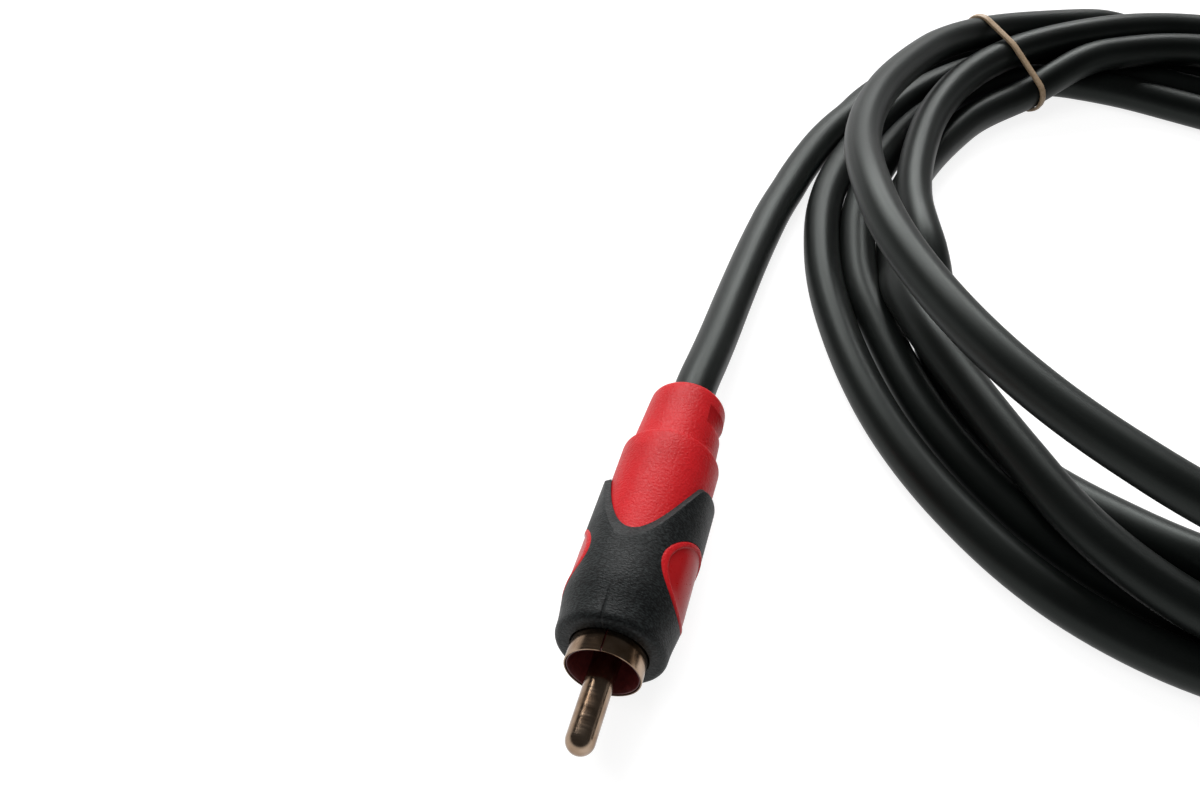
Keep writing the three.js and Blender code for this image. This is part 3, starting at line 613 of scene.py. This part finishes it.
turnKeys = {  # degrees round the coil from the tie, then each turn's radius and height there
    "at": [0, 13, 27, 50, 85, 125, 165, 200, 227, 240, 254, 267, 280, 290, 300, 315, 328, 340, 350],
    "turns": [
        ([79, 76.6, 69, 63.5, 58, 56.5, 58, 62.3, 64.2, 63.6, 62, 61, 60.6, 61, 62.2, 65.2, 67.6, 70.5, 72.6],
         [low] * 19),
        ([73.8, 69.2, 62.4, 57, 52, 50.5, 52, 56.5, 58.4, 57.4, 55.8, 54.7, 54.1, 54.5, 56.3, 59.9, 62.4,
          65.2, 67.2],
         [low] * 19),
        ([67.6, 62.4, 55.6, 50.5, 46.5, 48, 53.5, 59.3, 60.5, 57.3, 53, 51.1, 51.2, 51.3, 51.7, 54, 55.9,
          58, 60.3],
         [low] * 5 + [3.5, 5.5, 7.5, 7.6, 8, 8.3, 8.4, 8.2, 6.2, 2.9] + [low] * 4),
        ([61.8, 65, 66.2, 62.5, 58.5, 56, 54.5, 54.8, 54.2, 51.6, 50, 49.4, 50, 49.6, 49.8, 52.6, 56.2, 61,
          65],
         [low, 5.5, 7.7, 7.9, 8, 10, 12, 11.5, 9, 6, 3.2, low, 2.8, 4.8, 7.9, 7.9, 7.6, 7.7, 8]),
        ([68.1, 69.8, 72.4, 69.2, 61, 58.5, 58, 58, 56.6, 54.6, 53.5, 53.4, 54.3, 55.9, 57.8, 61.5, 64.6,
          67.9, 71.4],
         [8.3, 9.2, 8.8, 9.4, 11.6, 15, 17, 18.5, 19.2, 19.4, 19.4, 19.3, 19, 18.8, 18.3, 16.5, 15, 13.2,
          11.4]),
    ],
    "last": ([0, 13, 27, 50, 76], [73.6, 73.8, 74.4, 73.6, 71.5], [9.4, 7, 3.2, low, 3.0]),
}


def easeThrough(keys, values, at):  # smooth values between keys, each slope taken from its neighbours
    keys, values = np.array(keys, float), np.array(values, float)
    slopes = np.gradient(values, keys, axis=0)
    i = np.clip(np.searchsorted(keys, at, side="right") - 1, 0, len(keys) - 2)
    span = keys[i + 1] - keys[i]
    t = ((at - keys[i]) / span)[:, None]
    span = span[:, None]
    return ((2 * t ** 3 - 3 * t ** 2 + 1) * values[i] + (t ** 3 - 2 * t ** 2 + t) * span * slopes[i]
            + (3 * t ** 2 - 2 * t ** 3) * values[i + 1] + (t ** 3 - t ** 2) * span * slopes[i + 1])


def distanceAlong(points, power=1.0):  # at each point, the steps so far, each raised to power
    return np.r_[0, np.cumsum(np.linalg.norm(np.diff(points, axis=0), axis=1) ** power)]


def smoothLine(points, dense):  # the root of each step keeps the curve from overshooting where points crowd
    points = np.array(points, float)
    along = distanceAlong(points, 0.5)
    return easeThrough(along, points, np.linspace(0, along[-1], dense * len(points)))


def evenSteps(points, step):
    along = distanceAlong(points)
    at = np.linspace(0, along[-1], int(round(along[-1] / step)) + 1)
    return np.stack([np.interp(at, along, points[:, k]) for k in range(3)], 1)


def coilLine():  # the turns, one after another, clockwise from the tie
    keys, values = [], []
    for turn, (radii, heights) in enumerate(turnKeys["turns"]):
        keys += [360 * turn + at for at in turnKeys["at"]]
        values += list(zip(radii, heights))
    at, radii, heights = turnKeys["last"]
    keys += [360 * len(turnKeys["turns"]) + a for a in at]
    values += list(zip(radii, heights))
    degrees = np.arange(0, keys[-1] + 0.01, cordSizes["degreeStep"])
    spots = easeThrough(keys, values, degrees)
    angle = np.radians(cordSizes["tieAngle"] - degrees)
    x, y = cordSizes["centre"]
    return np.stack([x + spots[:, 0] * np.cos(angle), y + spots[:, 0] * np.sin(angle), spots[:, 1]], 1)


def settle(line):  # pushes crossing turns apart by a diameter, over the table, and keeps each near its place
    count = len(line)
    index = np.arange(count)
    apart = np.abs(index[:, None] - index[None]) > settling["neighbours"]
    held = (index < settling["heldStart"]) | (index > count - settling["heldEnd"])
    clear, share, furthest = settling["clear"], settling["share"], settling["furthest"]
    place = line.copy()
    for _ in range(settling["rounds"]):
        gap = place[:, None] - place[None]
        distance = np.sqrt((gap ** 2).sum(-1)) + 1e-9
        near = (distance < clear) & apart
        push = (np.where(near, (clear - distance) / distance * share, 0)[..., None] * gap).sum(1)
        size = np.linalg.norm(push, axis=1, keepdims=True)
        push *= np.minimum(1, furthest / np.maximum(size, 1e-9))
        moved = (place + push - line) * settling["keep"]
        eased = moved.copy()
        eased[1:-1] += settling["stiffness"] * (moved[2:] + moved[:-2] - 2 * moved[1:-1])
        eased[held] = 0
        place = line + eased
        place[:, 2] = np.maximum(place[:, 2], low)
    return place


def cordRoute():
    turn = Matrix.Rotation(radians(plug["farHeading"]), 3, "Z")
    tail = []
    for along, across, height in tailOffsets:
        spot = turn @ Vector((across, plug["rear"] + along, 0))
        tail.append((plug["farPlace"][0] + spot.x, plug["farPlace"][1] + spot.y, height))
    x, y, z = runPoints[0]
    start = [(x, y - cordSizes["inside"], z)]
    turns = [tuple(p) for p in coilLine()[4::4]]  # without the coil's first point the run eases into it
    rough = start + runPoints + turns + tail
    line = settle(evenSteps(smoothLine(rough, dense=6), settling["step"]))
    return evenSteps(smoothLine(line, dense=4), cordSizes["step"]) * mm


def tubeAlong(name, path, radius, sides):  # a closed tube that keeps each point's place on the straight cable
    steps = np.gradient(path, axis=0)
    steps /= np.linalg.norm(steps, axis=1, keepdims=True)
    across = np.cross(steps, (0, 0, 1.0))
    across /= np.linalg.norm(across, axis=1, keepdims=True)
    up = np.cross(across, steps)
    angles = np.arange(sides) / sides * 2 * pi
    ring = np.stack([np.cos(angles), np.sin(angles)], 1) * radius
    count = len(path)
    points = path[:, None] + ring[None, :, :1] * across[:, None] + ring[None, :, 1:] * up[:, None]
    along = distanceAlong(path)
    straight = np.concatenate([np.broadcast_to(ring, (count, sides, 2)),
                               np.broadcast_to(along[:, None, None], (count, sides, 1))], 2)
    faces = []
    for row in range(0, (count - 1) * sides, sides):
        for i in range(sides):
            after = (i + 1) % sides
            faces.append((row + i, row + after, row + sides + after, row + sides + i))
    faces += [tuple(range(sides))[::-1], tuple(range((count - 1) * sides, count * sides))]
    tube = meshPiece(name, [tuple(p) for p in points.reshape(-1, 3)], faces)
    flow = tube.data.attributes.new("alongCable", "FLOAT_VECTOR", "POINT")
    flow.data.foreach_set("vector", straight.reshape(-1))
    faceOutwards(tube)
    softenEdges(tube, smooth=40)
    return tube


cordLine = cordRoute()
cord = tubeAlong("visual_cord", cordLine, cordSizes["diameter"] / 2 * mm, cordSizes["sides"])
cord.data.materials.append(cablePvc)
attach(cord, "root")
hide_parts("cable_run", "cable_coil", "cable_tail")
print("cord laid:", round(float(distanceAlong(cordLine)[-1]), 3), "m")


# Tie: a thin strip drawn tight round the turns where they are gathered; it stands a little askew to them
tieSizes = {"width": 1.1, "thickness": 0.45, "bow": 0.12, "slack": 0.05, "edge": 0.08, "facet": 0.8,
            "offTable": 0.02, "middle": (34.6, 122.8), "askew": 142.7, "reach": 20, "cableFacets": 48}
tieAway = np.array([cos(radians(tieSizes["askew"])), sin(radians(tieSizes["askew"]))])
tieAside = np.array([-tieAway[1], tieAway[0]])


def turnsAtTie():  # where the cable passes the tie's plane: distance out, height, how much longer its cut is
    flat = cordLine[:, :2] / mm - np.array(tieSizes["middle"])
    away, off = flat @ tieAway, flat @ tieAside
    spots = []
    for i in np.nonzero((off[:-1] * off[1:] < 0) & (np.abs(away[:-1]) < tieSizes["reach"]))[0]:
        t = off[i] / (off[i] - off[i + 1])
        longer = np.linalg.norm(cordLine[i + 1] - cordLine[i]) / mm / abs(off[i + 1] - off[i])
        spots.append((away[i] * (1 - t) + away[i + 1] * t,
                      (cordLine[i, 2] * (1 - t) + cordLine[i + 1, 2] * t) / mm, longer))
    return spots


def hullOf(points):  # convex outline, counter-clockwise
    points = sorted(set(points))
    outline = []
    for run in (points, points[::-1]):
        side = []
        for p in run:
            while len(side) > 1 and ((side[-1][0] - side[-2][0]) * (p[1] - side[-2][1])
                                     - (side[-1][1] - side[-2][1]) * (p[0] - side[-2][0])) <= 0:
                side.pop()
            side.append(p)
        outline += side[:-1]
    return outline


def makeTie():
    reach = cordSizes["diameter"] / 2 + tieSizes["slack"]
    thick, half, floor = tieSizes["thickness"], tieSizes["width"] / 2, tieSizes["offTable"]
    rim = []
    for away, height, longer in turnsAtTie():
        for k in range(tieSizes["cableFacets"]):
            angle = k / tieSizes["cableFacets"] * 2 * pi
            rim.append((away + reach * longer * cos(angle), max(height + reach * sin(angle), thick)))
    outline = np.array(hullOf(rim))
    closed = np.vstack([outline, outline[:1]])
    along = distanceAlong(closed)
    at = np.linspace(0, along[-1], int(along[-1] / tieSizes["facet"]), endpoint=False)
    inner = np.stack([np.interp(at, along, closed[:, k]) for k in range(2)], 1)
    ahead = np.roll(inner, -1, 0) - np.roll(inner, 1, 0)
    normal = np.stack([ahead[:, 1], -ahead[:, 0]], 1)
    normal /= np.linalg.norm(normal, axis=1, keepdims=True)
    outer = inner + normal * thick
    outer[:, 1] = np.maximum(outer[:, 1], floor)
    crown = outer + normal * tieSizes["bow"]  # the strip is a little crowned across its width
    middle = np.array(tieSizes["middle"])
    points = []
    for spots, off in ((inner, -half), (outer, -half), (crown, 0), (outer, half), (inner, half)):
        points += [(*((middle + a * tieAway + off * tieAside) * mm), max(h, floor) * mm) for a, h in spots]
    count, faces = len(inner), []
    for row in range(5):
        this, above = row * count, (row + 1) % 5 * count
        for i in range(count):
            after = (i + 1) % count
            faces.append((this + i, this + after, above + after, above + i))
    tie = meshPiece("visual_coil_tie", points, faces)
    faceOutwards(tie)
    softenEdges(tie, tieSizes["edge"], 40)
    tie.data.materials.append(plain["coatedPaperTie"])
    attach(tie, "root")
    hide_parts("coil_tie")
    return tie


tie = makeTie()
print("tie drawn round the coil")

makePin()
makeBush()
makeShell()
makeRedBody()
makeGrip()
print("plugs made")

# The layers inside each plug stay as the CAD has them, and get their finishes
innerFinish = {"cable_jacket_end": "jacketPvcInside", "shield_braid": "drawnCopperWire",
               "core_insulation": "milkyPolythene", "inner_conductor": "drawnCopperWire",
               "pin_solder": "reflowedSolder", "shield_solder": "reflowedSolder"}
for node, finish in innerFinish.items():
    for suffix in ("", "_far"):
        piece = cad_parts[node + suffix]
        piece.data.materials.clear()
        piece.data.materials.append(plain[finish])

# Floor: white to the camera and in reflections, with the object's soft shadow; a mid grey to other light
floorLook = {"size": 8.0, "middle": (0.07, 0.05, 0), "glow": 0.84, "share": 0.36, "bounce": 0.5}


def makeFloor():
    deselectAll()
    bpy.ops.mesh.primitive_plane_add(size=floorLook["size"], location=floorLook["middle"])
    floor = bpy.context.object
    floor.name = "studioFloor"
    bpy.ops.object.transform_apply(location=True)
    material, tree, output = startMaterial("whiteSweepPaper")
    rays = addNode(tree, "LightPath").outputs
    seen = addNode(tree, "Math", {0: rays["Is Camera Ray"], 1: rays["Is Glossy Ray"]}, operation="MAXIMUM")
    seen = addNode(tree, "Math", {0: seen.outputs[0], 1: rays["Is Transmission Ray"]}, operation="MAXIMUM")
    glow = addNode(tree, "Emission", {"Color": grey(1.0), "Strength": floorLook["glow"]})
    caught = addNode(tree, "BsdfDiffuse", {"Color": grey(floorLook["share"])})
    shown = addNode(tree, "AddShader", {0: glow.outputs[0], 1: caught.outputs[0]})
    bounce = addNode(tree, "BsdfDiffuse", {"Color": grey(floorLook["bounce"])})
    mixed = addNode(tree, "MixShader", {0: seen.outputs[0], 1: bounce.outputs[0], 2: shown.outputs[0]})
    tree.links.new(mixed.outputs[0], output.inputs[0])
    floor.data.materials.append(material)


# Lamps: place, size and watts of a wide soft box behind the object and of one overhead, which only fills.
# In reflections the room is white low down and dim above
lampSizes = {"back": ((-0.35, 1.15, 0.9), (1.4, 0.4), 30.0), "top": ((-0.5, -0.2, 1.4), (1.0, 1.0), 5.0),
             "aim": (0.05, 0.04, 0.0), "room": 0.32, "ceiling": 0.07, "wall": (0.12, 0.3)}


def makeLamps():
    aim = Vector(lampSizes["aim"])
    for name in ("back", "top"):
        place, size, power = lampSizes[name]
        bpy.ops.object.light_add(type="AREA", location=place)
        lamp = bpy.context.object
        lamp.name = name + "SoftBox"
        lamp.data.shape = "RECTANGLE"
        lamp.data.size, lamp.data.size_y = size
        lamp.data.energy = power
        lamp.rotation_euler = (aim - Vector(place)).to_track_quat("-Z", "Y").to_euler()
        lamp.visible_camera = False
        lamp.visible_glossy = name == "back"  # no square of the top one is mirrored in the pin


def makeRoom():
    world = bpy.data.worlds.new("studioRoom")
    bpy.context.scene.world = world
    world.use_nodes = True
    tree = world.node_tree
    tree.nodes.clear()
    output = addNode(tree, "OutputWorld")
    rays = addNode(tree, "LightPath").outputs
    upward = addNode(tree, "SeparateXYZ", {"Vector": addNode(tree, "TexCoord").outputs["Generated"]})
    ceiling = addNode(tree, "MapRange", {"Value": upward.outputs[2], "From Min": lampSizes["wall"][0],
                                         "From Max": lampSizes["wall"][1], "To Min": 1.0,
                                         "To Max": lampSizes["ceiling"]})
    fill = addNode(tree, "Background", {"Color": grey(1.0), "Strength": lampSizes["room"]})
    mirrored = addNode(tree, "Background", {"Color": grey(1.0), "Strength": ceiling.outputs[0]})
    white = addNode(tree, "Background", {"Color": grey(1.0), "Strength": 1.0})
    indirect = addNode(tree, "MixShader", {0: rays["Is Glossy Ray"], 1: fill.outputs[0],
                                           2: mirrored.outputs[0]})
    seen = addNode(tree, "Math", {0: rays["Is Camera Ray"], 1: rays["Is Transmission Ray"]},
                   operation="MAXIMUM")
    mixed = addNode(tree, "MixShader", {0: seen.outputs[0], 1: indirect.outputs[0], 2: white.outputs[0]})
    tree.links.new(mixed.outputs[0], output.inputs[0])


makeFloor()
makeLamps()
makeRoom()

# Camera: the photograph's place and angle, solved from the plug
cameraSizes = {"place": (0.01839, -0.0806, 0.1187), "turn": (44.0, 0.0, 16.0), "lens": 36.0, "sensor": 36.0,
               "clip": (0.005, 20.0)}
bpy.ops.object.camera_add(location=cameraSizes["place"], rotation=[radians(a) for a in cameraSizes["turn"]])
camera = bpy.context.object
camera.name = "photoCamera"
camera.data.lens, camera.data.sensor_width = cameraSizes["lens"], cameraSizes["sensor"]
camera.data.clip_start, camera.data.clip_end = cameraSizes["clip"]
bpy.context.scene.camera = camera
bpy.context.scene.view_settings.view_transform = "Standard"
print("floor, lamps and camera set")
